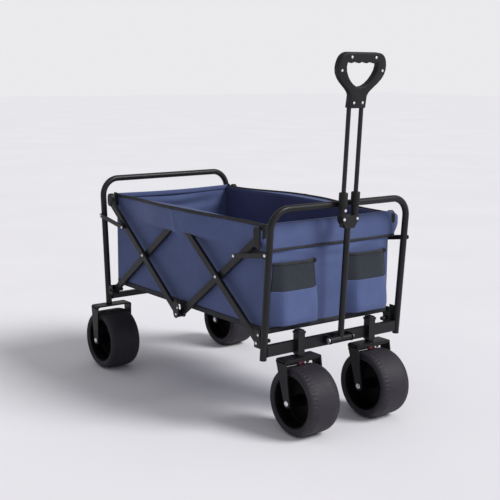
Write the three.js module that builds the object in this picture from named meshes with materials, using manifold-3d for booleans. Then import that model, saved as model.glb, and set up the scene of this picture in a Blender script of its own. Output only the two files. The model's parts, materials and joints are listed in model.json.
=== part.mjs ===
// Folding beach cart: two bent tube end frames, a lazy-tongs scissor on each side, a fabric tub,
// fixed rear wheels, swivelling front wheels and a telescopic pull handle.
// Millimetres. +Z is up, the handle end faces -Y, +X is the right of someone facing that end.
import * as THREE from "three";
import { mergeVertices } from "three/addons/utils/BufferGeometryUtils.js";
import Module from "manifold-3d";

const wasm = await Module();
wasm.setup();

// ---- driving dimensions ----
const GAP = 0.3; // between pieces that touch
const SIDES = [
  ["left", -1],
  ["right", 1],
];

const postX = 258; // centre line of each upright post
const frameLength = 870; // front post foot to rear post foot
const tubeRadius = 10;
const topBarZ = 650;
const frontFootZ = 226;
const postLean = 30; // how far each post's top leans away from the tub
const cornerRadius = 58;

const pivotInset = 23; // end pivots stand this far inside the post feet
const lowPivotZ = 272;
const crossRise = 153; // from an end pivot up to the middle of an X
const barHalfWidth = 11;
const barThickness = 11;
const innerLayerX = 238; // inner face of the inner bars
const layerStep = 12;
const pinRadius = 3.5;

const wheelRadius = 100;
const wheelHalfWidth = 55;
const hubRadius = 76;
const axleRadius = 6;
const rearWheelX = 250;
const rearWheelY = 862;
const frontWheelX = 137;
const stemY = -10;
const casterTrail = 28; // the front axle stands this far ahead of its swivel stem

const forkTopZ = 221;
const forkPlate = 5;
const forkLegX = 62; // inner face of a fork leg, from the wheel's middle
const forkLegThickness = 4;

const tubHalfWidth = 230;
const tubFrontY = 18;
const tubRearY = 852;
const tubFloorZ = 295;
const tubRimZ = 600;
const cloth = 2;

const handlePivotY = -33;
const handlePivotZ = 256;
const handleLean = THREE.MathUtils.degToRad(3.2); // forward from upright
const rodX = 23;
const rodRadius = 6.4;
const blockBottom = 328; // along the handle, from its pivot
const blockTop = 364;
const collarTop = 430;
const gripBottom = 665;
const gripHeight = 152;

// ---- worked out ----
const cellHalf = (frameLength - 2 * pivotInset) / 8; // half the spread of half an X
const midY = frameLength / 2;
const frontWheelY = stemY - casterTrail;
const originY = (rearWheelY + frontWheelY) / 2; // the wheels are the furthest out at both ends
const topPivotZ = lowPivotZ + 2 * crossRise;
const crossZ = lowPivotZ + crossRise;
const halfCell = 2 * cellHalf;
const rearY = frameLength - pivotInset;
const outerLayerX = innerLayerX + layerStep;
const outerFaceX = outerLayerX + barThickness;
const forkOuterX = forkLegX + forkLegThickness;
const leanAt = (z) => (postLean * (z - frontFootZ)) / (topBarZ - frontFootZ);
const mirrorY = (p) => ({ y: frameLength - p.y, z: p.z });

// ---- solids ----
function toSolid(geometry) {
  const bare = geometry.clone();
  bare.deleteAttribute("normal");
  bare.deleteAttribute("uv");
  const merged = mergeVertices(bare, 1e-3);
  return new wasm.Manifold(
    new wasm.Mesh({
      numProp: 3,
      vertProperties: new Float32Array(merged.attributes.position.array),
      triVerts: new Uint32Array(merged.index.array),
    }),
  );
}

function toGeometry(solid) {
  const mesh = solid.getMesh();
  const geometry = new THREE.BufferGeometry();
  geometry.setAttribute("position", new THREE.BufferAttribute(mesh.vertProperties, 3));
  geometry.setIndex(new THREE.BufferAttribute(mesh.triVerts, 1));
  const flat = geometry.toNonIndexed();
  flat.computeVertexNormals();
  return flat;
}

const join = (...parts) => toGeometry(parts.map(toSolid).reduce((a, b) => a.add(b)));

const cut = (body, ...tools) =>
  toGeometry(tools.map(toSolid).reduce((a, b) => a.subtract(b), toSolid(body)));

// A box between two values on each axis, in either order.
function box([x0, x1], [y0, y1], [z0, z1]) {
  const geometry = new THREE.BoxGeometry(Math.abs(x1 - x0), Math.abs(y1 - y0), Math.abs(z1 - z0));
  return geometry.translate((x0 + x1) / 2, (y0 + y1) / 2, (z0 + z1) / 2);
}

// A round bar along X.
function pin(x0, x1, y, z, radius, sides = 12) {
  const geometry = new THREE.CylinderGeometry(radius, radius, Math.abs(x1 - x0), sides);
  return geometry.rotateZ(Math.PI / 2).translate((x0 + x1) / 2, y, z);
}

// A round bar along Z.
function post(x, y, z0, z1, radius, sides = 16) {
  const geometry = new THREE.CylinderGeometry(radius, radius, z1 - z0, sides);
  return geometry.rotateX(Math.PI / 2).translate(x, y, (z0 + z1) / 2);
}

// An outline drawn in Y and Z, thickened along X.
function plate(shape, x0, x1, curveSegments = 5) {
  const depth = Math.abs(x1 - x0);
  const geometry = new THREE.ExtrudeGeometry(shape, { depth, curveSegments, bevelEnabled: false });
  const turn = new THREE.Matrix4().makeBasis(
    new THREE.Vector3(0, 1, 0),
    new THREE.Vector3(0, 0, 1),
    new THREE.Vector3(1, 0, 0),
  );
  return geometry.applyMatrix4(turn).translate(Math.min(x0, x1), 0, 0);
}

// The outline of a flat bar with a round end about each of two pivots.
function barOutline(from, to, fromRadius, toRadius = fromRadius) {
  const angle = Math.atan2(to.z - from.z, to.y - from.y);
  const taper = Math.asin((fromRadius - toRadius) / Math.hypot(to.z - from.z, to.y - from.y));
  const quarter = Math.PI / 2 - taper;
  const shape = new THREE.Shape();
  shape.absarc(to.y, to.z, toRadius, angle - quarter, angle + quarter);
  shape.absarc(from.y, from.z, fromRadius, angle + quarter, angle + 2 * Math.PI - quarter);
  return shape;
}

// A body turned about X: the profile is [radius, x] pairs that run from -x to +x outside.
function turned(profile, x, y, z, segments) {
  const points = profile.map(([radius, along]) => new THREE.Vector2(radius, along));
  const geometry = new THREE.LatheGeometry(points, segments);
  return geometry.rotateZ(-Math.PI / 2).translate(x, y, z);
}

// A round tube through points that lie in one plane.
function bentTube(points, planeNormal, radius, sides = 16) {
  const position = [];
  const index = [];
  points.forEach((point, i) => {
    const before = points[Math.max(i - 1, 0)];
    const after = points[Math.min(i + 1, points.length - 1)];
    const along = after.clone().sub(before).normalize();
    const across = new THREE.Vector3().crossVectors(planeNormal, along);
    for (let k = 0; k < sides; k++) {
      const turn = (2 * Math.PI * k) / sides;
      position.push(
        ...point
          .clone()
          .addScaledVector(across, radius * Math.cos(turn))
          .addScaledVector(planeNormal, radius * Math.sin(turn)),
      );
    }
  });
  const ring = (i, k) => i * sides + (k % sides);
  for (let i = 0; i + 1 < points.length; i++) {
    for (let k = 0; k < sides; k++) {
      index.push(ring(i, k), ring(i, k + 1), ring(i + 1, k + 1));
      index.push(ring(i, k), ring(i + 1, k + 1), ring(i + 1, k));
    }
  }
  const last = points.length - 1;
  for (let k = 1; k + 1 < sides; k++) {
    index.push(ring(0, 0), ring(0, k + 1), ring(0, k));
    index.push(ring(last, 0), ring(last, k), ring(last, k + 1));
  }
  const geometry = new THREE.BufferGeometry();
  geometry.setAttribute("position", new THREE.Float32BufferAttribute(position, 3));
  geometry.setIndex(index);
  return geometry;
}

// ---- the tree of named pieces ----
const group = new THREE.Group();
group.name = "beach_cart";

const coats = {
  frame: [0x222326, 0.45, 0.6],
  plastic: [0x1a1a1c, 0.6, 0],
  steel: [0xc9ccd1, 0.3, 1],
  tyre: [0x35333a, 0.85, 0],
  hub: [0x141417, 0.6, 0],
  red: [0x5a1722, 0.5, 0],
  fabric: [0x4a5282, 0.9, 0],
};

function add(name, geometry, coat) {
  const [color, roughness, metalness] = coats[coat];
  const material = new THREE.MeshStandardMaterial({ color, roughness, metalness });
  const mesh = new THREE.Mesh(geometry.translate(0, -originY, 0), material);
  mesh.name = name;
  group.add(mesh);
}

// ---- end frames ----
// direction is -1 for the front frame, whose posts lean to -Y, and 1 for the rear frame.
function endFrame(footY, footZ, direction) {
  const up = new THREE.Vector3(0, direction * postLean, topBarZ - frontFootZ).normalize();
  const foot = new THREE.Vector3(0, footY + direction * leanAt(footZ), footZ);
  const height = (topBarZ - footZ) / up.z;
  const at = (x, along) => foot.clone().addScaledVector(up, along).setX(x);
  const centreX = postX - cornerRadius;
  const points = [at(-postX, 0)];
  const arcSteps = 6;
  for (const side of [-1, 1]) {
    for (let i = 0; i <= arcSteps; i++) {
      const step = side < 0 ? i : arcSteps - i;
      const turn = (Math.PI / 2) * (step / arcSteps);
      const x = side * (centreX + cornerRadius * Math.cos(turn));
      points.push(at(x, height - cornerRadius + cornerRadius * Math.sin(turn)));
    }
  }
  points.push(at(postX, 0));
  const normal = new THREE.Vector3().crossVectors(new THREE.Vector3(1, 0, 0), up);
  return bentTube(points, normal, tubeRadius);
}

const railEndX = postX - tubeRadius - GAP;
const rearFootZ = forkTopZ + 1.1;
add("rear_frame_tube", endFrame(frameLength, rearFootZ, 1), "frame");
add("front_frame_tube", endFrame(0, frontFootZ, -1), "frame");

const rearRailZ = [238, 257];
add(
  "rear_rail",
  box([-railEndX, railEndX], [frameLength - 8, frameLength + 10], rearRailZ),
  "frame",
);

// The front rail has a square tube welded in for each swivel stem.
const frontRailZ = [235, 267];
const railHalfDepth = 8;
const stemTubeHalf = 12;
const stemTubeTop = 288;
const stemRadius = 8;
const stemTubes = SIDES.map(([, s]) => {
  const x = s * frontWheelX;
  return box(
    [x - stemTubeHalf, x + stemTubeHalf],
    [stemY - stemTubeHalf, stemY + stemTubeHalf],
    [frontFootZ + 2, stemTubeTop],
  );
});
const stemBores = SIDES.map(([, s]) =>
  post(s * frontWheelX, stemY, frontFootZ, stemTubeTop + 2, stemRadius + 1),
);
const frontRailBar = box([-railEndX, railEndX], [-railHalfDepth, railHalfDepth], frontRailZ);
add("front_rail", cut(join(frontRailBar, ...stemTubes), ...stemBores), "frame");

const capHalf = stemTubeHalf + 2;
const capHeight = 11;
for (const [side, s] of SIDES) {
  const x = s * frontWheelX;
  const z = stemTubeTop + GAP;
  const block = (inset, height) =>
    box(
      [x - capHalf + inset, x + capHalf - inset],
      [stemY - capHalf + inset, stemY + capHalf - inset],
      [z, z + height],
    );
  const cap = block(0, capHeight - 4);
  const crown = block(3, capHeight);
  add(`caster_cap_${side}`, join(cap, crown), "plastic");
}

// ---- scissors ----
const lowRear = { y: rearY, z: lowPivotZ };
const topRear = { y: rearY, z: topPivotZ };
const lowMid = { y: midY, z: lowPivotZ };
const topMid = { y: midY, z: topPivotZ };
const crossRear = { y: midY + halfCell, z: crossZ };
const lowFront = mirrorY(lowRear);
const topFront = mirrorY(topRear);
const crossFront = mirrorY(crossRear);

const holeRadius = pinRadius + 0.7;
const hole = (s, p) =>
  pin(s * (innerLayerX - 5), s * (outerFaceX + 5), p.y, p.z, holeRadius, 10);

// A bar in the outer layer carries pins that pass through the bars behind it.
function outerBar(s, from, to, pins, holes) {
  const bar = plate(barOutline(from, to, barHalfWidth), s * outerLayerX, s * outerFaceX);
  const pinned = join(
    bar,
    ...pins.map((p) => pin(s * (innerLayerX - 1), s * (outerFaceX - 1), p.y, p.z, pinRadius, 10)),
    ...pins.map((p) => pin(s * (outerFaceX - 1), s * (outerFaceX + 2.5), p.y, p.z, 5, 10)),
  );
  return cut(pinned, ...holes.map((p) => hole(s, p)));
}

function innerBar(s, from, to, holes) {
  const faces = [s * innerLayerX, s * (innerLayerX + barThickness)];
  return cut(plate(barOutline(from, to, barHalfWidth), ...faces), ...holes.map((p) => hole(s, p)));
}

// A moulded cap over a bar's top end, where the tub's corner is held.
function barCap(s, end, towards, layerX) {
  const wall = 1.8;
  const outline = barOutline({ y: end.y, z: end.z - 2 }, { y: end.y, z: end.z + 14 }, 14);
  const shell = plate(outline, s * (layerX - wall), s * (layerX + barThickness + wall));
  const socket = barOutline(end, towards, barHalfWidth + GAP);
  const clear = plate(socket, s * (layerX - GAP), s * (layerX + barThickness + GAP));
  return cut(shell, clear);
}

// A pressed bracket on a post foot: two cheeks, a web beside the post and a pivot pin.
const cheek = 2.5;
const bracketX = [innerLayerX - cheek - 0.6, outerFaceX + cheek + 0.6];
function footBracket(s, isRear) {
  const flip = (y) => (isRear ? frameLength - y : y);
  const web = 8.2;
  const y = [flip(web), flip(pivotInset + 11)];
  const z = [lowPivotZ - 14, lowPivotZ + (isRear ? 15 : 38)];
  const shell = box([s * bracketX[0], s * bracketX[1]], y, z);
  const slotY = [flip(web + 1.8), flip(pivotInset + 30)];
  const slotX = [s * (bracketX[0] + cheek), s * (bracketX[1] - cheek)];
  const slot = box(slotX, slotY, [z[0] - 5, z[1] + 5]);
  const pivot = pin(
    s * (bracketX[0] + 1),
    s * (bracketX[1] + 2),
    flip(pivotInset),
    lowPivotZ,
    pinRadius,
    10,
  );
  return join(cut(shell, slot), pivot);
}

// The bottom middle bracket: a cheek on each side of the crossing bars, on one pin.
function middleBracket(s) {
  const outline = barOutline({ y: midY, z: lowPivotZ }, { y: midY, z: lowPivotZ + 24 }, 13, 18);
  return join(
    plate(outline, s * bracketX[0], s * (bracketX[0] + cheek)),
    plate(outline, s * (bracketX[1] - cheek), s * bracketX[1]),
    pin(s * (bracketX[0] + 1), s * (bracketX[1] + 2), midY, lowPivotZ, pinRadius, 10),
  );
}

// A brace from a post to the scissor, in a layer of its own outside the posts.
const braceShare = 0.52; // how far up the bar beyond the X the brace is riveted
const bracePostZ = 527;
const braceX = postX + tubeRadius + 1;
const braceThickness = 5;
const braceBar = { y: rearY - (1 - braceShare) * halfCell, z: crossZ + braceShare * crossRise };
const bracePost = { y: frameLength + leanAt(bracePostZ), z: bracePostZ };
function brace(s, isRear) {
  const [a, b] = isRear ? [bracePost, braceBar] : [mirrorY(bracePost), mirrorY(braceBar)];
  const faces = [s * braceX, s * (braceX + braceThickness)];
  const layerFace = isRear ? outerFaceX : innerLayerX + barThickness;
  return join(
    plate(barOutline(a, b, 7), ...faces),
    pin(s * (layerFace + 0.4), s * (braceX + 1), b.y, b.z, 5, 10),
    pin(s * (braceX + 1), s * (braceX + braceThickness + 2), b.y, b.z, 5, 10),
    pin(s * (braceX + 1), s * (braceX + braceThickness + 2), a.y, a.z, 5, 10),
  );
}

for (const [side, s] of SIDES) {
  add(`bar_rear_low_to_mid_top_${side}`, innerBar(s, lowRear, topMid, [lowRear, crossRear, topMid]), "frame");
  add(`bar_mid_low_to_rear_top_${side}`, outerBar(s, lowMid, topRear, [crossRear], [lowMid]), "frame");
  add(
    `bar_front_low_to_mid_top_${side}`,
    outerBar(s, lowFront, topMid, [crossFront, topMid], [lowFront]),
    "frame",
  );
  add(`bar_mid_low_to_front_top_${side}`, innerBar(s, lowMid, topFront, [lowMid, crossFront]), "frame");
  add(`bar_cap_rear_${side}`, barCap(s, topRear, lowMid, outerLayerX), "plastic");
  add(`bar_cap_front_${side}`, barCap(s, topFront, lowMid, innerLayerX), "plastic");
  add(`bracket_rear_${side}`, footBracket(s, true), "frame");
  add(`bracket_front_${side}`, footBracket(s, false), "frame");
  add(`bracket_middle_${side}`, middleBracket(s), "frame");
  add(`brace_rear_${side}`, brace(s, true), "frame");
  add(`brace_front_${side}`, brace(s, false), "frame");
}

// ---- wheels and forks ----
const tyreProfile = [
  [hubRadius, -50],
  [hubRadius + 4, -wheelHalfWidth],
  [88, -wheelHalfWidth],
  [96, -46],
  [wheelRadius, -30],
  [wheelRadius, 30],
  [96, 46],
  [88, wheelHalfWidth],
  [hubRadius + 4, wheelHalfWidth],
  [hubRadius, 50],
  [hubRadius, -50],
];
const rimRadius = hubRadius - GAP;
const lipRadius = rimRadius - 5;
const webRadius = rimRadius - 9;
const bossX = forkLegX - 2;
const hubProfile = [
  [axleRadius + 0.5, -bossX],
  [16, -bossX],
  [18, -6],
  [webRadius, -5],
  [lipRadius, -49],
  [rimRadius, -49],
  [rimRadius, 49],
  [lipRadius, 49],
  [webRadius, 5],
  [18, 6],
  [16, bossX],
  [axleRadius + 0.5, bossX],
  [axleRadius + 0.5, -bossX],
];
const headX = forkOuterX + GAP;
const axleProfile = [
  [0, -headX - 4],
  [8, -headX - 3],
  [8, -headX],
  [axleRadius, -headX],
  [axleRadius, headX],
  [8, headX],
  [8, headX + 3],
  [0, headX + 4],
];

// A fork bent from plate: a top plate over the tyre and a tapering leg down each side.
function fork(x, axleY, top) {
  const outline = new THREE.Shape();
  const footRadius = 13;
  outline.moveTo(top[1], forkTopZ);
  outline.lineTo(top[0], forkTopZ);
  outline.absarc(axleY, wheelRadius, footRadius, Math.PI, 2 * Math.PI);
  const legs = [-1, 1].map((s) => plate(outline, x + s * forkLegX, x + s * forkOuterX));
  const cover = box([x - forkOuterX, x + forkOuterX], top, [forkTopZ - forkPlate, forkTopZ]);
  const bore = pin(x - 80, x + 80, axleY, wheelRadius, axleRadius + 0.4);
  return { body: join(cover, ...legs), bore };
}

function addWheel(end, side, x, y) {
  add(`${end}_tyre_${side}`, turned(tyreProfile, x, y, wheelRadius, 24), "tyre");
  add(`${end}_hub_${side}`, turned(hubProfile, x, y, wheelRadius, 24), "hub");
  add(`${end}_axle_${side}`, turned(axleProfile, x, y, wheelRadius, 12), "steel");
}

for (const [side, s] of SIDES) {
  const rear = fork(s * rearWheelX, rearWheelY, [frameLength - 24, frameLength + 20]);
  add(`rear_fork_${side}`, cut(rear.body, rear.bore), "frame");
  addWheel("rear", side, s * rearWheelX, rearWheelY);

  const x = s * frontWheelX;
  const front = fork(x, frontWheelY, [stemY - 22, stemY + 22]);
  const stem = post(x, stemY, forkTopZ - 1, stemTubeTop - 1, stemRadius);
  const race = post(x, stemY, forkTopZ - 1, frontFootZ + 1, 13);
  add(`front_fork_${side}`, join(cut(front.body, front.bore), stem, race), "frame");
  addWheel("front", side, x, frontWheelY);
}

// ---- brake levers, one in each front fork ----
// The lever hangs on a pin at the front of the fork. Its shoe follows the tyre and its tail is a pedal.
const brakePivot = { y: -24, z: 209 };
const shoeRadius = wheelRadius + 4.2;
function brakeOutline() {
  const shape = new THREE.Shape();
  const from = Math.acos((brakePivot.y - 6 - frontWheelY) / shoeRadius);
  const to = Math.acos((24 - frontWheelY) / shoeRadius);
  shape.moveTo(14, 213.5);
  shape.lineTo(brakePivot.y - 6, 213.5);
  shape.absarc(frontWheelY, wheelRadius, shoeRadius, from, to, true);
  shape.lineTo(56, 182);
  shape.lineTo(58, 188);
  shape.lineTo(24, 200);
  return shape;
}
for (const [side, s] of SIDES) {
  const x = s * frontWheelX;
  const lever = plate(brakeOutline(), x - 22, x + 22);
  const rod = pin(x - forkLegX + 0.5, x + forkLegX - 0.5, brakePivot.y, brakePivot.z, 3, 10);
  add(`brake_lever_${side}`, join(lever, rod), "red");
}

// ---- handle ----
// Drawn upright with its pivot at the origin, then leaned forward and set in place.
const lean = (geometry) =>
  geometry.rotateX(handleLean).translate(0, handlePivotY, handlePivotZ);

const boltRadius = 4.8;
const sleeveHalf = 38;
const sleeveRadius = 9.5;
const earX = [sleeveHalf + 1, sleeveHalf + 5];
const earOutline = barOutline(
  { y: -railHalfDepth - 5, z: handlePivotZ },
  { y: handlePivotY, z: handlePivotZ },
  12,
);
const clevisBack = -railHalfDepth - GAP;
const clevis = join(
  box([-earX[1], earX[1]], [clevisBack, clevisBack - 4], [handlePivotZ - 14, handlePivotZ + 13]),
  ...SIDES.map(([, s]) => plate(earOutline, s * earX[0], s * earX[1])),
);
const clevisTrim = box([-80, 80], [clevisBack, clevisBack + 40], [200, 300]);
const clevisBore = pin(-80, 80, handlePivotY, handlePivotZ, boltRadius + 0.4);
add("handle_clevis", cut(clevis, clevisTrim, clevisBore), "frame");

const boltHead = earX[1] + GAP;
const boltProfile = [
  [0, -boltHead - 5],
  [8, -boltHead - 4],
  [8, -boltHead],
  [boltRadius, -boltHead],
  [boltRadius, boltHead],
  [8, boltHead],
  [8, boltHead + 4],
  [0, boltHead + 5],
];
add("handle_bolt", turned(boltProfile, 0, handlePivotY, handlePivotZ, 12), "steel");

const handleTubeRadius = 9;
const handleTube = join(
  post(0, 0, 0, blockTop - 8, handleTubeRadius),
  pin(-sleeveHalf, sleeveHalf, 0, 0, sleeveRadius, 16),
);
add("handle_tube", lean(cut(handleTube, pin(-50, 50, 0, 0, boltRadius + 0.4))), "frame");

// The slider block clamps the tube's top and carries a collar for each rod.
function sliderBlock() {
  const halfDepth = 12;
  const shape = new THREE.Shape();
  shape.moveTo(-17, blockBottom);
  shape.lineTo(17, blockBottom);
  shape.lineTo(31, blockTop - 14);
  shape.lineTo(31, blockTop);
  shape.lineTo(-31, blockTop);
  shape.lineTo(-31, blockTop - 14);
  const face = new THREE.ExtrudeGeometry(shape, { depth: 2 * halfDepth, bevelEnabled: false });
  face.rotateX(Math.PI / 2).translate(0, halfDepth, 0);
  const collars = SIDES.flatMap(([, s]) => [
    post(s * rodX, 0, blockTop - 1, collarTop - 38, 10.5),
    post(s * rodX, 0, collarTop - 39, collarTop, 13),
  ]);
  const bores = SIDES.map(([, s]) => post(s * rodX, 0, 300, 450, rodRadius + 0.3));
  const socket = post(0, 0, 300, blockTop - 8 + GAP, handleTubeRadius + GAP);
  return cut(join(face, ...collars), ...bores, socket);
}
add("handle_block", lean(sliderBlock()), "plastic");

// Rods end inside the grip, which slides down with them.
const rodSeat = gripBottom + 16;
for (const [side, s] of SIDES) {
  add(`handle_rod_${side}`, lean(post(s * rodX, 0, blockBottom + 4, rodSeat, rodRadius)), "frame");
}

// A spade grip: straight neck, flared arms and a rounded top bar over a finger hole.
function spadeGrip() {
  const thickness = 20;
  const bevel = 4;
  const rake = THREE.MathUtils.degToRad(6); // forward of the rods
  const [neck, wide, top] = [31, 89, gripHeight];
  const outline = new THREE.Shape();
  outline.moveTo(-neck, 0);
  outline.lineTo(neck, 0);
  outline.lineTo(neck, 34);
  outline.bezierCurveTo(neck + 4, 54, wide - 2, 70, wide, 108);
  outline.bezierCurveTo(wide, top - 14, wide - 14, top, wide - 34, top);
  outline.lineTo(34 - wide, top);
  outline.bezierCurveTo(14 - wide, top, -wide, top - 14, -wide, 108);
  outline.bezierCurveTo(2 - wide, 70, -neck - 4, 54, -neck, 34);
  const opening = new THREE.Path();
  const [holeHalf, holeTop, ripple, waves] = [55, 127, 2, 4];
  opening.moveTo(holeHalf, holeTop - 2);
  opening.bezierCurveTo(holeHalf + 10, 104, 32, 58, 0, 58);
  opening.bezierCurveTo(-32, 58, -holeHalf - 10, 104, -holeHalf, holeTop - 2);
  for (let i = 1; i < 6 * waves; i++) {
    const share = i / (6 * waves);
    const bump = ripple * Math.cos(2 * Math.PI * waves * share);
    opening.lineTo(holeHalf * (2 * share - 1), holeTop + bump - ripple);
  }
  outline.holes.push(opening);
  const body = new THREE.ExtrudeGeometry(outline, {
    depth: thickness - 2 * bevel,
    curveSegments: 7,
    bevelThickness: bevel,
    bevelSize: bevel,
    bevelOffset: -bevel,
    bevelSegments: 2,
  });
  body.rotateX(Math.PI / 2).translate(0, thickness / 2 - bevel, 0);
  body.rotateX(rake).translate(0, 0, gripBottom);
  const seats = SIDES.map(([, s]) =>
    post(s * rodX, 0, gripBottom - 5, rodSeat + GAP, rodRadius + GAP),
  );
  return cut(body, ...seats);
}
add("handle_grip", lean(spadeGrip()), "plastic");

// ---- fabric tub ----
const half = cloth / 2;
const seam = 0.6;
const wallY = [tubFrontY + half + seam, tubRearY - half - seam];
const endPanel = (y) =>
  box(
    [-tubHalfWidth - half, tubHalfWidth + half],
    [y - half, y + half],
    [tubFloorZ, tubRimZ + 6],
  );
add("fabric_rear_panel", endPanel(tubRearY), "fabric");
add("fabric_front_panel", endPanel(tubFrontY), "fabric");

// A pouch on each side wall covers the top middle pivot, and the bars enter it from below.
const pouchZ = [547, tubRimZ + 6];
const pouchX = outerFaceX + 6;
const pouchHalf = 76;
const pouchFlare = 200;
function pouch(s) {
  const extrude = (points, z0, z1) => {
    const shape = new THREE.Shape(points.map(([x, y]) => new THREE.Vector2(s * x, midY + y)));
    const geometry = new THREE.ExtrudeGeometry(shape, { depth: z1 - z0, bevelEnabled: false });
    return geometry.translate(0, 0, z0);
  };
  const outside = [
    [tubHalfWidth + half, pouchHalf + pouchFlare],
    [pouchX + cloth, pouchHalf],
    [pouchX + cloth, -pouchHalf],
    [tubHalfWidth + half, -pouchHalf - pouchFlare],
  ];
  const inside = [
    [tubHalfWidth + half, -pouchHalf - pouchFlare + 8],
    [pouchX, -pouchHalf + 1],
    [pouchX, pouchHalf - 1],
    [tubHalfWidth + half, pouchHalf + pouchFlare - 8],
  ];
  const foot = [
    [tubHalfWidth, -pouchHalf - pouchFlare],
    [tubHalfWidth, pouchHalf + pouchFlare],
  ];
  return cut(
    extrude([...outside, ...foot], ...pouchZ),
    extrude(inside, pouchZ[0] - 5, pouchZ[1] - cloth),
  );
}
function sidesAndFloor() {
  const inner = tubHalfWidth - half;
  const outer = tubHalfWidth + half;
  const block = box([-outer, outer], wallY, [tubFloorZ, tubRimZ]);
  const room = box([-inner, inner], [0, frameLength], [tubFloorZ + cloth, tubRimZ + 50]);
  return join(cut(block, room), ...SIDES.map(([, s]) => pouch(s)));
}
add("fabric_sides_floor", sidesAndFloor(), "fabric");

// ---- cup pockets on the front panel ----
const pocketX = 138;
const pocketHalf = 86;
const pocketDepth = 38;
const pocketZ = [316, 490];
function halfOval(shape, inset, y, reverse) {
  const steps = 14;
  for (let i = 0; i <= steps; i++) {
    const turn = Math.PI * ((reverse ? steps - i : i) / steps);
    const x = -(pocketHalf - inset) * Math.cos(turn);
    const out = y - (pocketDepth - inset) * Math.sqrt(Math.max(0, Math.sin(turn)));
    if (shape.currentPoint.lengthSq() === 0) shape.moveTo(x, out);
    else shape.lineTo(x, out);
  }
}
function pocket(s) {
  const y = tubFrontY - half - 0.5;
  const wall = new THREE.Shape();
  halfOval(wall, 0, y, false);
  halfOval(wall, cloth, y, true);
  const base = new THREE.Shape();
  halfOval(base, 0, y, false);
  const height = pocketZ[1] - pocketZ[0];
  const sleeve = new THREE.ExtrudeGeometry(wall, { depth: height, bevelEnabled: false });
  const floor = new THREE.ExtrudeGeometry(base, { depth: cloth, bevelEnabled: false });
  return join(sleeve, floor).translate(s * pocketX, 0, pocketZ[0]);
}
for (const [side, s] of SIDES) add(`cup_pocket_${side}`, pocket(s), "fabric");

export default group;
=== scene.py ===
"""A folding beach cart: powder-coated tube frames, scissor sides, a cloth tub and wide foam tyres.

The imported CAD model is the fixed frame. Every rigid piece is rebuilt here with rounded edges and
every cloth piece is a sewn sheet, each riding on its CAD body. Units are metres.
"""
import json
import math

import bmesh
import bpy
from mathutils import Matrix, Vector, noise


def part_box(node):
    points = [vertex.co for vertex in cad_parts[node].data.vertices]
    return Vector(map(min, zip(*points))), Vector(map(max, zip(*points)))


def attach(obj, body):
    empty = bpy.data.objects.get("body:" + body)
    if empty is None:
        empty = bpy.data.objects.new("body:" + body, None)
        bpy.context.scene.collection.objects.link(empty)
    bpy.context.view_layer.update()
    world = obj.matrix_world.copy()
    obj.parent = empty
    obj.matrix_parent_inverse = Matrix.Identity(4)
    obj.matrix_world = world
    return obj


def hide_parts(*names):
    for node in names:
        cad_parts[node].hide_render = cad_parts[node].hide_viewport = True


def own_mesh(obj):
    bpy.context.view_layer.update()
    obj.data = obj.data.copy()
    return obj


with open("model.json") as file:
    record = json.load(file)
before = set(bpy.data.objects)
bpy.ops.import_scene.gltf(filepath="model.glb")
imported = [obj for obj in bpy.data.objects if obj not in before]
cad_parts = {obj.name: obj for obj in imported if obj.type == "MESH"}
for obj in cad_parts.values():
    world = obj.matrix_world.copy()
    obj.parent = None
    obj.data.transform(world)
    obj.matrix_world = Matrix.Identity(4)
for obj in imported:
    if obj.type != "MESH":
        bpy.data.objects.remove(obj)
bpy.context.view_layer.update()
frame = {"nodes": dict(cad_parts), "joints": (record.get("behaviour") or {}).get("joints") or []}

SIDES = (("left", -1), ("right", 1))
PIVOT = {j["name"]: Vector(j["pos_m"]) for j in frame["joints"] if "pos_m" in j}


def node_box(name):
    """A CAD node's lowest corner, highest corner and middle."""
    low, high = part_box(name)
    return low, high, (low + high) / 2


# ---- camera ----

CAMERA_PLACE = Vector((-1.9105, -2.5348, 1.0259))
CAMERA_AZIMUTH = math.radians(-37.08)
CAMERA_DOWN = math.radians(10.28)
CAMERA_ROLL = math.radians(0.42)
CAMERA_LENS = 72.25


def make_camera():
    data = bpy.data.cameras.new("camera")
    data.lens = CAMERA_LENS
    data.sensor_width = 36
    data.clip_start = 0.1
    camera = bpy.data.objects.new("camera", data)
    bpy.context.scene.collection.objects.link(camera)
    turn = Matrix.Rotation(CAMERA_AZIMUTH, 4, "Z")
    tilt = Matrix.Rotation(math.pi / 2 - CAMERA_DOWN, 4, "X")
    roll = Matrix.Rotation(CAMERA_ROLL, 4, "Z")
    camera.matrix_world = Matrix.Translation(CAMERA_PLACE) @ turn @ tilt @ roll
    bpy.context.scene.camera = camera


make_camera()


# ---- materials ----


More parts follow.
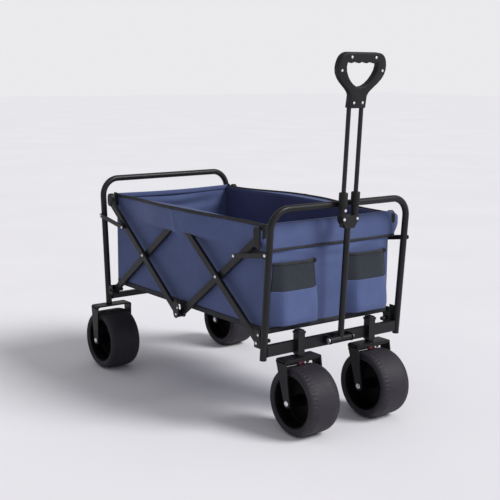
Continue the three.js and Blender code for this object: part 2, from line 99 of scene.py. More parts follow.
class Surface:
    """A Principled material whose colour, roughness and bump are built up from small node groups."""

    def __init__(self, name, roughness=0.5, metallic=0.0, coordinates="Object"):
        self.material = bpy.data.materials.new(name)
        self.material.use_nodes = True
        self.tree = self.material.node_tree
        self.shader = self.tree.nodes["Principled BSDF"]
        self.shader.inputs["Roughness"].default_value = roughness
        self.shader.inputs["Metallic"].default_value = metallic
        self.place = self.tree.nodes.new("ShaderNodeTexCoord").outputs[coordinates]
        self.normal = None

    def link(self, source, target):
        self.tree.links.new(source, target)

    def noise(self, scale, detail=3.0, roughness=0.5, distortion=0.0):
        node = self.tree.nodes.new("ShaderNodeTexNoise")
        node.inputs["Scale"].default_value = scale
        node.inputs["Detail"].default_value = detail
        node.inputs["Roughness"].default_value = roughness
        node.inputs["Distortion"].default_value = distortion
        self.link(self.place, node.inputs["Vector"])
        return node.outputs["Fac"]

    def bands(self, pitch, axis, distortion=0.0):
        """Smooth ridges, one every pitch metres along X, Y or Z of the coordinates."""
        node = self.tree.nodes.new("ShaderNodeTexWave")
        node.bands_direction = axis
        node.inputs["Scale"].default_value = math.pi / 10 / pitch
        node.inputs["Distortion"].default_value = distortion
        node.inputs["Detail Scale"].default_value = 2.0
        self.link(self.place, node.inputs["Vector"])
        return node.outputs["Fac"]

    def math(self, kind, first, second):
        node = self.tree.nodes.new("ShaderNodeMath")
        node.operation = kind
        for socket, value in zip(node.inputs, (first, second)):
            if isinstance(value, (int, float)):
                socket.default_value = value
            else:
                self.link(value, socket)
        return node.outputs["Value"]

    def ramp(self, source, stops):
        """Turns a value into a colour; stops are (position, (r, g, b)) pairs."""
        node = self.tree.nodes.new("ShaderNodeValToRGB")
        elements = node.color_ramp.elements
        while len(elements) < len(stops):
            elements.new(0.5)
        for element, (position, colour) in zip(elements, stops):
            element.position = position
            element.color = (*colour, 1)
        self.link(source, node.inputs["Fac"])
        return node.outputs["Color"]

    def mix(self, factor, first, second):
        node = self.tree.nodes.new("ShaderNodeMix")
        node.data_type = "RGBA"
        self.link(factor, node.inputs["Factor"])
        for name, value in (("A", first), ("B", second)):
            socket = [s for s in node.inputs if s.name == name and s.type == "RGBA"][0]
            if isinstance(value, tuple):
                socket.default_value = (*value, 1)
            else:
                self.link(value, socket)
        return [s for s in node.outputs if s.type == "RGBA"][0]

    def colour(self, source):
        self.link(source, self.shader.inputs["Base Color"])

    def roughness(self, source, low, high):
        node = self.tree.nodes.new("ShaderNodeMapRange")
        node.inputs["To Min"].default_value = low
        node.inputs["To Max"].default_value = high
        self.link(source, node.inputs["Value"])
        self.link(node.outputs["Result"], self.shader.inputs["Roughness"])

    def bump(self, source, strength, distance):
        node = self.tree.nodes.new("ShaderNodeBump")
        node.inputs["Strength"].default_value = strength
        node.inputs["Distance"].default_value = distance
        self.link(source, node.inputs["Height"])
        if self.normal is not None:
            self.link(self.normal, node.inputs["Normal"])
        self.normal = node.outputs["Normal"]
        self.link(self.normal, self.shader.inputs["Normal"])

    def set(self, **values):
        for name, value in values.items():
            socket = name.replace("_", " ").title().replace("Ior", "IOR")
            self.shader.inputs[socket].default_value = value


def powder_coat():
    """Black powder coat: an orange-peel skin, rubbed a little lighter in places."""
    s = Surface("powder_coat", roughness=0.42)
    s.colour(s.ramp(s.noise(9, 4), [(0.3, (0.008, 0.008, 0.010)), (0.75, (0.015, 0.015, 0.017))]))
    s.roughness(s.noise(60, 2), 0.34, 0.52)
    s.bump(s.noise(900, 2), 0.12, 0.0004)
    s.bump(s.noise(25, 2), 0.05, 0.001)
    s.set(coat_weight=0.06, specular_ior_level=0.22)
    return s.material


def rod_paint():
    """Smooth black enamel on the sliding rods, with fine rub marks along them."""
    s = Surface("rod_paint", roughness=0.3)
    marks = s.math("MULTIPLY", s.noise(240, 2), s.noise(14, 3))
    s.colour(s.ramp(marks, [(0.1, (0.007, 0.007, 0.008)), (0.5, (0.02, 0.02, 0.022))]))
    s.roughness(marks, 0.22, 0.42)
    s.bump(s.noise(700, 2), 0.04, 0.0003)
    s.set(specular_ior_level=0.3)
    return s.material


def moulded_plastic(name, dark, light, specular=0.25):
    """Matte moulded plastic with a fine spark-eroded grain."""
    s = Surface(name, roughness=0.5)
    s.colour(s.ramp(s.noise(14, 3), [(0.3, dark), (0.75, light)]))
    s.roughness(s.noise(90, 2), 0.4, 0.62)
    s.bump(s.noise(420, 2, 0.7), 0.25, 0.0004)
    s.set(specular_ior_level=specular)
    return s.material


def zinc_steel():
    """Bright zinc on rivets and axle ends, faintly brushed."""
    s = Surface("zinc_steel", roughness=0.3, metallic=0.85)
    s.colour(s.ramp(s.noise(220, 3), [(0.3, (0.62, 0.63, 0.66)), (0.7, (0.9, 0.9, 0.92))]))
    s.roughness(s.noise(500, 2), 0.22, 0.42)
    s.bump(s.noise(800, 2), 0.08, 0.0002)
    return s.material


def foam_tyre():
    """Charcoal foamed rubber: open pores, dusty patches and a dull skin."""
    s = Surface("foam_tyre", roughness=0.8)
    patches = s.ramp(s.noise(11, 4), [(0.35, (0.013, 0.011, 0.016)), (0.72, (0.022, 0.019, 0.026))])
    dust = s.math("MULTIPLY", s.noise(160, 4, 0.7), s.noise(24, 3))
    s.colour(s.mix(dust, patches, (0.036, 0.032, 0.042)))
    s.roughness(s.noise(120, 3), 0.48, 0.72)
    s.bump(s.noise(520, 3, 0.7), 0.5, 0.0006)
    s.bump(s.noise(70, 3), 0.35, 0.0012)
    s.set(specular_ior_level=0.3)
    return s.material


def woven_cloth(name, dark, light):
    """Coated Oxford cloth: a plain weave over soft handling wrinkles, faded a little in patches, with
    painted shade in the hollows between the yarns.
    """
    yarn_pitch = 0.0011
    wrinkle_depth = 0.0018
    s = Surface(name, coordinates="UV")
    warp = s.bands(yarn_pitch, "X", 0.4)
    weft = s.bands(yarn_pitch, "Y", 0.4)
    weave = s.math("MULTIPLY", warp, weft)
    patches = s.ramp(s.noise(5.5, 4, 0.55), [(0.32, dark), (0.7, light)])
    # painted shade: the hollows between the yarns are mixed towards this darker copy of the cloth colour
    shade = tuple(c * 0.8 for c in dark)
    weave_hollow_shade = s.math("MULTIPLY", s.math("SUBTRACT", 1.0, weave), 0.22)
    s.colour(s.mix(weave_hollow_shade, patches, shade))
    s.roughness(s.noise(30, 2), 0.72, 0.92)
    s.bump(weave, 0.22, 0.0003)
    s.bump(s.noise(13, 3, 0.5, 0.6), 0.5, wrinkle_depth)
    s.set(sheen_weight=0.08, sheen_roughness=0.5, specular_ior_level=0.25)
    return s.material


def pocket_mesh():
    """Knitted mesh: a grid of small holes between slate threads, the holes painted near-black as the shade
    seen through them.
    """
    s = Surface("pocket_mesh", coordinates="UV")
    holes_with_painted_shade = s.math("MULTIPLY", s.bands(0.0026, "X"), s.bands(0.0026, "Y"))
    # painted shade: the holes get a near-black colour for the shaded inside of the pocket seen through
    # them
    s.colour(s.ramp(holes_with_painted_shade, [(0.25, (0.013, 0.020, 0.030)), (0.6, (0.005, 0.007, 0.011))]))
    s.roughness(s.noise(60, 2), 0.7, 0.9)
    s.bump(s.math("SUBTRACT", 1.0, holes_with_painted_shade), 0.6, 0.0006)
    s.bump(s.noise(16, 3), 0.4, 0.0015)
    return s.material


def binding_tape():
    """Black ribbed tape sewn over the raw edges."""
    s = Surface("binding_tape", coordinates="UV")
    ribs = s.math("MULTIPLY", s.bands(0.0012, "X"), s.bands(0.0020, "Y"))
    s.colour(s.ramp(s.noise(45, 3), [(0.3, (0.008, 0.009, 0.013)), (0.7, (0.022, 0.023, 0.03))]))
    s.roughness(s.noise(200, 2), 0.62, 0.85)
    s.bump(ribs, 0.5, 0.0004)
    return s.material


def sewing_thread():
    s = Surface("sewing_thread", roughness=0.6)
    s.colour(s.ramp(s.noise(300, 2), [(0.3, (0.07, 0.08, 0.14)), (0.7, (0.14, 0.16, 0.26))]))
    s.bump(s.noise(1400, 2), 0.3, 0.0002)
    return s.material


def studio_floor():
    s = Surface("studio_floor", roughness=0.9)
    s.colour(s.ramp(s.noise(1.2, 3), [(0.3, (0.80, 0.79, 0.825)), (0.7, (0.83, 0.82, 0.855))]))
    s.bump(s.noise(60, 3), 0.05, 0.0005)
    return s.material


BLUE_DARK = (0.066, 0.090, 0.205)
BLUE_LIGHT = (0.092, 0.124, 0.270)
coat = powder_coat()
enamel = rod_paint()
plastic = moulded_plastic("black_plastic", (0.007, 0.007, 0.008), (0.014, 0.014, 0.015))
hub_plastic = moulded_plastic("hub_plastic", (0.001, 0.001, 0.002), (0.003, 0.003, 0.004), specular=0.08)
red_plastic = moulded_plastic("red_plastic", (0.07, 0.008, 0.016), (0.12, 0.014, 0.026))
zinc = zinc_steel()
rubber = foam_tyre()
cloth = woven_cloth("slate_cloth", BLUE_DARK, BLUE_LIGHT)
# painted shade: the lining is a darker copy of the slate cloth, for the side linings and the floor inside
# the tub where shade falls
shaded_lining = woven_cloth("slate_lining_painted_shade", (0.035, 0.045, 0.13), (0.055, 0.068, 0.185))
mesh_cloth = pocket_mesh()
tape = binding_tape()
thread = sewing_thread()
floor_paint = studio_floor()


# ---- shapes ----


class Shape:
    """Collects closed surfaces and turns them into one piece."""

    def __init__(self):
        self.points = []
        self.faces = []

    def add(self, points, faces):
        base = len(self.points)
        self.points += [Vector(p) for p in points]
        self.faces += [[base + i for i in face] for face in faces]
        return self

    def rings(self, rings, closed=False):
        """Joins rings of points, each the same length, with caps at both ends unless it closes."""
        count = len(rings[0])
        points = [p for ring in rings for p in ring]
        faces = []
        spans = len(rings) if closed else len(rings) - 1
        for i in range(spans):
            a, b = i * count, ((i + 1) % len(rings)) * count
            for k in range(count):
                n = (k + 1) % count
                faces.append([a + k, a + n, b + n, b + k])
        if not closed:
            faces.append(list(range(count))[::-1])
            faces.append([(len(rings) - 1) * count + k for k in range(count)])
        return self.add(points, faces)

    def prism(self, outline, x0, x1):
        """An outline of (y, z) pairs, thickened along X."""
        return self.rings([[(x, y, z) for y, z in outline] for x in sorted((x0, x1))])

    def box(self, low, high):
        (x0, y0, z0), (x1, y1, z1) = low, high
        return self.prism([(y0, z0), (y1, z0), (y1, z1), (y0, z1)], x0, x1)

    def turned(self, profile, centre, axis="X", segments=32):
        """A profile of (radius, along) pairs turned about an axis, radius 0 at both ends."""
        rings = []
        for radius, along in profile:
            radius = max(radius, 1e-5)
            ring = []
            for k in range(segments):
                turn = 2 * math.pi * k / segments
                u, v = radius * math.cos(turn), radius * math.sin(turn)
                offset = {"X": (along, u, v), "Y": (u, along, v), "Z": (u, v, along)}[axis]
                ring.append(Vector(centre) + Vector(offset))
            rings.append(ring)
        return self.rings(rings)

    def rod(self, radius, start, end, centre, axis="X", segments=32):
        """A plain cylinder from start to end along an axis."""
        profile = [(0, start), (radius, start), (radius, end), (0, end)]
        return self.turned(profile, centre, axis, segments)

    def sweep(self, path, radius, segments=24, closed=False):
        """A round tube along a path; radius is a number or a function of the share of the way."""
        path = [Vector(p) for p in path]
        last = len(path) - 1
        rings = []
        side = None
        for i, point in enumerate(path):
            before = path[i - 1] if i or closed else point
            after = path[(i + 1) % len(path)] if i < last or closed else point
            along = (after - before).normalized()
            if side is None:
                side = along.orthogonal().normalized()
            side = (side - along * side.dot(along)).normalized()
            up = along.cross(side)
            r = radius(i / last) if callable(radius) else radius
            rings.append(
                [
                    point + (side * math.cos(t) + up * math.sin(t)) * r
                    for t in (2 * math.pi * k / segments for k in range(segments))
                ]
            )
        return self.rings(rings, closed)

    def transform(self, matrix):
        self.points = [matrix @ p for p in self.points]
        return self

    def piece(self, name, material, body, slot, bevel=0.0, replaces=(), sharp=38):
        mesh = bpy.data.meshes.new(name)
        mesh.from_pydata([tuple(p) for p in self.points], [], self.faces)
        finish_mesh(mesh, sharp)
        return place(name, mesh, material, body, bevel, replaces)


def finish_mesh(mesh, sharp=38):
    """Turns the faces outwards and shades them smooth, but for the sharp edges."""
    work = bmesh.new()
    work.from_mesh(mesh)
    bmesh.ops.recalc_face_normals(work, faces=work.faces)
    work.to_mesh(mesh)
    work.free()
    mesh.shade_smooth()
    mesh.set_sharp_from_angle(angle=math.radians(sharp))


def place(name, mesh, material, body, bevel=0.0, replaces=()):
    piece = bpy.data.objects.new(name, mesh)
    bpy.context.scene.collection.objects.link(piece)
    piece.data.materials.append(material)
    if bevel:
        edges = piece.modifiers.new("rounded_edges", "BEVEL")
        edges.width = bevel
        edges.segments = 2
        edges.limit_method = "ANGLE"
        edges.angle_limit = math.radians(40)
        edges.harden_normals = True
    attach(piece, body)
    if replaces:
        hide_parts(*replaces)
    return piece


def rounded_copy(node, material, body, bevel=0.0008):
    """A CAD node's own shape with its edges rounded off."""
    mesh = frame["nodes"][node].data.copy()
    mesh.name = node + "_body"
    mesh.materials.clear()
    work = bmesh.new()
    work.from_mesh(mesh)
    bmesh.ops.remove_doubles(work, verts=work.verts, dist=1e-6)
    bmesh.ops.dissolve_limit(
        work, angle_limit=math.radians(1), verts=work.verts, edges=work.edges
    )
    work.to_mesh(mesh)
    work.free()
    finish_mesh(mesh, 30)
    return place(node + "_body", mesh, material, body, bevel, [node])


def capsule(start, end, start_radius, end_radius=None, steps=12):
    """The outline of a bar with a round end about each of two (y, z) points."""
    end_radius = start_radius if end_radius is None else end_radius
    angle = math.atan2(end[1] - start[1], end[0] - start[0])
    taper = math.asin((start_radius - end_radius) / math.dist(start, end))
    quarter = math.pi / 2 - taper
    outline = []
    for centre, radius, first, sweep in (
        (end, end_radius, angle - quarter, 2 * quarter),
        (start, start_radius, angle + quarter, 2 * math.pi - 2 * quarter),
    ):
        for i in range(steps + 1):
            turn = first + sweep * i / steps
            outline.append((centre[0] + radius * math.cos(turn), centre[1] + radius * math.sin(turn)))
    return outline


def rivet(name, centre, side, body, radius=0.0048, height=0.0026, material=None):
    """A domed rivet head facing out along X."""
    steps = 6
    profile = [(radius, -0.001), (radius, 0.0)]
    for i in range(1, steps + 1):
        turn = math.pi / 2 * i / steps
        profile.append((radius * math.cos(turn), height * math.sin(turn)))
    profile = [(r, side * a) for r, a in profile]
    shape = Shape().turned(profile, centre, "X", 20)
    return shape.piece(name, material or zinc, body, "steel")


# ---- end frames ----

TUBE_RADIUS = 0.010
CORNER_RADIUS = 0.058


def tube_path(node, corner_steps=14):
    """The centre line of a bent end tube, from one foot over the top bar to the other foot."""
    low, high, middle = node_box(node)
    rear = middle.y > 0
    foot_y = low.y + TUBE_RADIUS if rear else high.y - TUBE_RADIUS
    top_y = high.y - TUBE_RADIUS if rear else low.y + TUBE_RADIUS
    lean = 0.08  # the posts' slope, which drops one edge of each foot
    foot = Vector((0, foot_y, low.z + TUBE_RADIUS * lean))
    top = Vector((0, top_y, high.z - TUBE_RADIUS))
    up = (top - foot).normalized()
    half = high.x - TUBE_RADIUS
    height = (top - foot).length
    path = [foot + Vector((-half, 0, 0))]
    for side in (-1, 1):
        for i in range(corner_steps + 1):
            step = i if side < 0 else corner_steps - i
            turn = math.pi / 2 * step / corner_steps
            x = side * (half - CORNER_RADIUS + CORNER_RADIUS * math.cos(turn))
            along = height - CORNER_RADIUS + CORNER_RADIUS * math.sin(turn)
            path.append(foot + up * along + Vector((x, 0, 0)))
    path.append(foot + Vector((half, 0, 0)))
    return path




def weld_bead(name, corners, body, radius=0.0016):
    """A fine rope of weld metal round a joint."""
    path = []
    for i, corner in enumerate(corners):
        a, b = Vector(corner), Vector(corners[(i + 1) % len(corners)])
        steps = max(2, int((b - a).length / 0.004))
        path += [a.lerp(b, k / steps) for k in range(steps)]

    def wobble(share):
        return radius * (1 + 0.25 * math.sin(share * len(path) * 2.1))

    Shape().sweep(path, wobble, 8, closed=True).piece(name, coat, body, "frame")


def weld_corners(end, s):
    """The corners of the joint between one end of a cross rail and its foot bracket."""
    low, high, _ = node_box(f"{end}_rail")
    x = s * (high.x - 0.001)
    inset = 0.0015
    y0, z0, z1 = low.y, low.z, high.z
    if end == "front":
        # this node also holds the stem tubes, so the rail's own section is stated
        y0, z0, z1 = high.y - 0.016, low.z + 0.007, low.z + 0.039
    y0, y1 = y0 + inset, high.y - inset
    return [(x, y0, z0), (x, y1, z0), (x, y1, z1), (x, y0, z1)]


def end_frames():
    """The two bent tubes with their cross rails, foot brackets, weld beads and stem caps."""
    for end in ("rear", "front"):
        node = f"{end}_frame_tube"
        body = f"{end}_frame"
        tube = Shape().sweep(tube_path(node), TUBE_RADIUS, 28)
        tube.piece(f"{end}_tube", coat, body, "frame", replaces=[node])
        rounded_copy(f"{end}_rail", coat, body, 0.0022)
        for side, s in SIDES:
            weld_bead(f"{end}_weld_{side}", weld_corners(end, s), body)
            rounded_copy(f"bracket_{end}_{side}", coat, body, 0.0009)
    for side, _ in SIDES:
        rounded_copy(f"caster_cap_{side}", plastic, "front_frame", 0.0012)


end_frames()


# ---- scissors ----

BAR_HALF = 0.011


def yz(point):
    return (point.y, point.z)


def layer(node):
    """A bar's inner and outer face, measured out from the cart's middle, without its long pin."""
    pin_reach, pin_head, widest_bar = 0.013, 0.0025, 0.020
    low, high, _ = node_box(node)
    inner, outer = sorted((abs(low.x), abs(high.x)))
    if outer - inner > widest_bar:
        return inner + pin_reach, outer - pin_head
    return inner, outer


def scissor_points(side):
    """Where the pivots of one side are, as (y, z) pairs; the lowest ones are alike on both sides."""
    rear_low = PIVOT["fold"]
    cross = PIVOT[f"scissor_rear_cross_{side}"]
    mid_top = PIVOT[f"scissor_mid_top_{side}"]
    front_cross = PIVOT[f"scissor_front_cross_{side}"]
    front_low = PIVOT["scissor_front_low_left"]
    mid_low = PIVOT[f"scissor_mid_low_{side}"]
    rear_top = cross * 2 - mid_low
    front_top = front_cross * 2 - mid_low
    return {
        "rear_low": yz(rear_low),
        "rear_cross": yz(cross),
        "rear_top": yz(rear_top),
        "mid_top": yz(mid_top),
        "mid_low": yz(mid_low),
        "front_cross": yz(front_cross),
        "front_low": yz(front_low),
        "front_top": yz(front_top),
    }


def scissor_side(side, s):
    """Four bars with their rivets, the shoes on the upper ends, the brackets' fittings and the braces."""
    points = scissor_points(side)
    bars = [
        ("bar_rear_low_to_mid_top", "bar_b", "rear_low", "mid_top", []),
        ("bar_mid_low_to_rear_top", "bar_a", "mid_low", "rear_top", ["rear_cross"]),
        ("bar_front_low_to_mid_top", "bar_d", "front_low", "mid_top", ["front_cross", "mid_top"]),
        ("bar_mid_low_to_front_top", "bar_c", "mid_low", "front_top", []),
    ]
    for stem, bar, start, end, heads in bars:
        node = f"{stem}_{side}"
        body = f"{bar}_{side}"
        inner, outer = layer(node)
        outline = capsule(points[start], points[end], BAR_HALF)
        shape = Shape().prism(outline, s * inner, s * outer)
        shape.piece(node + "_bar", coat, body, "frame", 0.0022, [node])
        for head in heads:
            rivet(f"{stem}_rivet_{head}_{side}", (s * outer, *points[head]), s, body)
    bar_caps(side)
    middle_bracket(side, s, points)
    foot_rivets(side, s, points)
    for end in ("rear", "front"):
        brace(side, s, end)


def bar_caps(side):
    """Moulded shoes on the upper ends, which hold the tub's corners."""
    for end, bar in (("rear", "bar_a"), ("front", "bar_c")):
        node = f"bar_cap_{end}_{side}"
        low, high, middle = node_box(node)
        radius = (high.y - low.y) / 2
        bottom, top = (middle.y, low.z + radius), (middle.y, high.z - radius)
        shape = Shape().prism(capsule(bottom, top, radius, radius, 10), low.x, high.x)
        shape.piece(node + "_shoe", plastic, f"{bar}_{side}", "plastic", 0.002, [node])


def middle_bracket(side, s, points):
    """Two cheeks and a pin over the lower middle pivot, with two rivets in the outer cheek."""
    node = f"bracket_middle_{side}"
    low, high, _ = node_box(node)
    y, z = points["mid_low"]
    rise, low_radius, high_radius = 0.024, 0.013, 0.018
    outline = capsule((y, z), (y, z + rise), low_radius, high_radius)
    cheek = 0.0025
    inner, outer = sorted((abs(low.x), abs(high.x)))
    shape = Shape()
    shape.prism(outline, s * inner, s * (inner + cheek))
    shape.prism(outline, s * (outer - cheek), s * outer)
    shape.rod(0.0035, s * inner, s * outer, (0, y, z))
    shape.piece(node + "_plates", coat, node, "frame", 0.0008, [node])
    for i, (ahead, height) in enumerate(((0.003, 0.0), (0.011, 0.022))):
        centre = (s * outer, y - ahead, z + height)
        rivet(f"middle_rivet_{i}_{side}", centre, s, node, 0.0042)


def foot_rivets(side, s, points):
    """The rivet through each foot bracket, its nut inside, and a second bolt at the front."""
    for end in ("rear", "front"):
        low, high, _ = node_box(f"bracket_{end}_{side}")
        y, z = points[f"{end}_low"]
        inner, outer = sorted((abs(low.x), abs(high.x)))
        body = f"{end}_frame"
        finish = coat if end == "rear" else zinc
        rivet(f"foot_rivet_{end}_{side}", (s * outer, y, z), s, body, material=finish)
        if end == "front":
            rivet(f"foot_bolt_{side}", (s * outer, y - 0.009, z + 0.025), s, body, 0.0042)
        radius, length = 0.006, 0.018
        nut = [(0, 0.001), (radius, 0.001), (radius, -length + 0.002)]
        nut += [(radius - 0.0015, -length), (0, -length)]
        shape = Shape().turned([(r, s * (inner + a)) for r, a in nut], (0, y, z), "X", 24)
        shape.piece(f"foot_nut_{end}_{side}", coat, body, "frame")


def brace(side, s, end):
    """A flat link from the post to the scissor with a shouldered rivet at each end."""
    node = f"brace_{end}_{side}"
    low, high, _ = node_box(node)
    post = yz(PIVOT[node])
    radius, thick = 0.007, 0.005
    bar = (low.y + radius if end == "rear" else high.y - radius, low.z + radius)
    inner, outer = sorted((abs(low.x), abs(high.x)))
    face = outer - 0.002
    shape = Shape().prism(capsule(post, bar, radius), s * (face - thick), s * face)
    shape.rod(0.0045, s * inner, s * face, (0, *bar))
    shape.piece(node + "_link", coat, node, "frame", 0.0009, [node])
    rivet(f"{node}_rivet_bar", (s * face, *bar), s, node, height=0.002)
    rivet(f"{node}_rivet_post", (s * face, *post), s, node, height=0.002)


for side, s in SIDES:
    scissor_side(side, s)


# ---- wheels ----


def tyre_radius(share, radius, hub):
    """The tyre's outside radius across its width; share runs from -1 to 1."""
    edge = abs(share)
    if edge < 0.5:
        return radius
    drop = (edge - 0.5) / 0.5
    return radius - (radius - hub) * 0.62 * (1 - math.sqrt(max(0.0, 1 - drop**2.3)))


def spun(section_at, middle, segments):
    """A ring about a wheel's axis; section_at(turn) gives its (x, radius) pairs."""
    rings = []
    for k in range(segments):
        turn = 2 * math.pi * k / segments
        c, d = math.cos(turn), math.sin(turn)
        rings.append([(middle.x + x, middle.y + r * c, middle.z + r * d) for x, r in section_at(turn)])
    return Shape().rings(rings, closed=True)


def tread_depth(edge, turn):
    """How deep the tread is cut: fine ribs round the middle, short sipes across the shoulders."""
    rib_count, sipe_count = 96, 48
    if edge < 0.42:
        return 0.0005 * (0.5 + 0.5 * math.cos(turn * rib_count))
    if 0.56 < edge < 0.84:
        ridge = 0.5 + 0.5 * math.cos(turn * sipe_count)
        return 0.0022 * ridge**6 * math.sin(math.pi * (edge - 0.56) / 0.28)
    return 0.0


def tyre(node, body):
    """A wide foam tyre with small pores in its skin."""
    low, high, middle = node_box(node)
    radius = (high.z - low.z) / 2
    half = (high.x - low.x) / 2
    bore = (node_box(node.replace("tyre", "hub"))[1].z - middle.z) + 0.0003
    across = 36

    def section(turn):
        pairs = []
        for i in range(across + 1):
            share = 2 * i / across - 1
            eased = math.copysign(1 - (1 - abs(share)) ** 1.35, share)
            pores = noise.noise(Vector((math.cos(turn), math.sin(turn), eased)) * 14) * 0.0003
            cut = tread_depth(abs(eased), turn) + max(0.0, pores)
            pairs.append((eased * half, tyre_radius(eased, radius, bore) - cut))
        pairs += [(half * 0.93, bore + 0.003), (half * 0.9, bore)]
        pairs += [(-half * 0.9, bore), (-half * 0.93, bore + 0.003)]
        return pairs

    shape = spun(section, middle, 192)
    return shape.piece(node + "_tread", rubber, body, "tyre", replaces=[node], sharp=55)


def hub(node, body):
    """A deep-dished hub: rim barrel, web and round boss."""
    low, high, middle = node_box(node)
    rim = (high.z - low.z) / 2
    face = 0.049
    boss = (high.x - low.x) / 2
    barrel = rim - 0.006
    half = [
        (0.0068, boss), (0.015, boss), (0.017, 0.010), (rim - 0.0115, 0.006), (barrel, 0.012),
        (barrel + 0.001, face - 0.002), (barrel + 0.0025, face), (rim - 0.0012, face), (rim, face - 0.001),
    ]
    profile = [(-x, r) for r, x in half] + [(x, r) for r, x in reversed(half)]
    shape = spun(lambda turn: profile, middle, 64)
    return shape.piece(node + "_dish", hub_plastic, body, "hub", 0.0006, [node])


def axle(node, body):
    """A through axle with a domed head against each fork leg."""
    low, high, middle = node_box(node)
    half = (high.x - low.x) / 2
    head, shaft, thick = 0.008, 0.006, 0.004
    profile = [(0, -half)]
    for i in range(1, 7):
        turn = math.pi / 2 * i / 6
        profile.append((head * math.sin(turn), -half + (thick - 0.001) * (1 - math.cos(turn))))
    profile += [(head, -half + thick), (shaft, -half + thick)]
    profile += [(r, -a) for r, a in reversed(profile)]
    pin = Shape().turned(profile, middle, "X", 24)
    return pin.piece(node + "_pin", zinc, body, "steel", replaces=[node])


FORK_TOP = 0.221
FORK_BEND = 0.006
FORK_FOOT = 0.013
LEG_THICK = 0.004
PLATE_THICK = 0.005
PLATE_HALF = 0.022


def fork_leg(plate_y, axle_y, axle_z):
    """A leg's outline: as wide as the plate at the top, tapering to a round foot about the axle."""
    outline = [(plate_y[1], FORK_TOP - FORK_BEND), (plate_y[0], FORK_TOP - FORK_BEND)]
    for i in range(13):
        turn = math.pi + math.pi * i / 12
        outline.append((axle_y + FORK_FOOT * math.cos(turn), axle_z + FORK_FOOT * math.sin(turn)))
    return outline


def fork_arch(outer):
    """The plate's section across the cart, with its two bends down into the legs."""
    bend_z = FORK_TOP - FORK_BEND
    arch = []
    for s in (-1, 1):
        for i in range(7):
            step = i if s < 0 else 6 - i
            turn = math.pi / 2 * step / 6
            x = s * (outer - FORK_BEND + FORK_BEND * math.cos(turn))
            arch.append((x, bend_z + FORK_BEND * math.sin(turn)))
    under = [(x * (outer - LEG_THICK) / outer, z - PLATE_THICK) for x, z in reversed(arch)]
    skirt = bend_z - 0.004
    section = [(-outer, skirt)] + arch + [(outer, skirt)]
    return section + [(outer - LEG_THICK, skirt)] + under + [(LEG_THICK - outer, skirt)]


def fork_swivel(shape, stem, middle_x, inner, front_y):
    """The swivel fork's front lip, its bearing race and its stem."""
    lip_thick = 0.0016
    shape.box(
        (middle_x - inner, front_y, FORK_TOP - 0.0088),
        (middle_x + inner, front_y + lip_thick, FORK_TOP - 0.0040),
    )
    centre = (stem.x, stem.y, FORK_TOP)
    race = [(0, -0.0005), (0.0125, -0.0005), (0.0135, 0.001), (0.0135, 0.0045), (0.011, 0.006), (0, 0.006)]
    shape.turned(race, centre, "Z", 32)
    shape.rod(0.008, -0.001, 0.066, centre, "Z", 24)


def fork(node, body, axle_y, stem=None):
    """A pressed fork: a plate over the tyre, folded down into two tapering legs."""
    low, high, middle = node_box(node)
    outer = (high.x - low.x) / 2
    plate_y = (stem.y - PLATE_HALF, stem.y + PLATE_HALF) if stem else (low.y, high.y)
    outline = fork_leg(plate_y, axle_y, low.z + FORK_FOOT)
    shape = Shape()
    for s in (-1, 1):
        shape.prism(outline, middle.x + s * outer, middle.x + s * (outer - LEG_THICK))
    shape.rings([[(middle.x + x, y, z) for x, z in fork_arch(outer)] for y in plate_y])
    if stem:
        fork_swivel(shape, stem, middle.x, outer - LEG_THICK, plate_y[0])
    return shape.piece(node + "_plate", coat, body, "frame", 0.0009, [node])


def brake_lever(side):
    """A black lever under the fork plate, with a small red tab and a bright pin at its front."""
    node = f"brake_lever_{side}"
    body = f"brake_{side}"
    low, _, middle = node_box(node)
    rounded_copy(node, plastic, body, 0.0012)
    tab = Shape().box(
        (middle.x - 0.018, low.y - 0.0022, FORK_TOP - 0.0190),
        (middle.x - 0.004, low.y + 0.0040, FORK_TOP - 0.0095),
    )
    tab.piece(f"brake_tab_{side}", red_plastic, body, "brake", 0.0012)
    head = [(0, 0.002), (0.0033, 0.002), (0.0033, -0.003), (0.0026, -0.0038), (0, -0.004)]
    pin = Shape().turned(head, (middle.x + 0.005, low.y, FORK_TOP - 0.0145), "Y", 20)
    pin.piece(f"brake_pin_{side}", zinc, body, "steel")


def wheels():
    """A tyre, hub, axle and fork at each corner, and a brake lever in each front fork."""
    for side, _ in SIDES:
        for end in ("rear", "front"):
            body = f"{end}_wheel_{side}"
            tyre(f"{end}_tyre_{side}", body)
            hub(f"{end}_hub_{side}", body)
            carrier = "rear_frame" if end == "rear" else f"caster_{side}"
            axle(f"{end}_axle_{side}", carrier)
            spin = PIVOT[f"{end}_wheel_spin_{side}"]
            stem = PIVOT[f"caster_swivel_{side}"] if end == "front" else None
            fork(f"{end}_fork_{side}", carrier, spin.y, stem)
        brake_lever(side)


wheels()


# ---- handle ----

HANDLE_LEAN = math.radians(3.2)
GRIP_RAKE = math.radians(6)
GRIP_HALF = 0.010
ROD_X = 0.023
GRIP_LOW = 0.665
handle_pivot = PIVOT["handle_tilt"]
to_handle = Matrix.Translation(handle_pivot) @ Matrix.Rotation(HANDLE_LEAN, 4, "X")


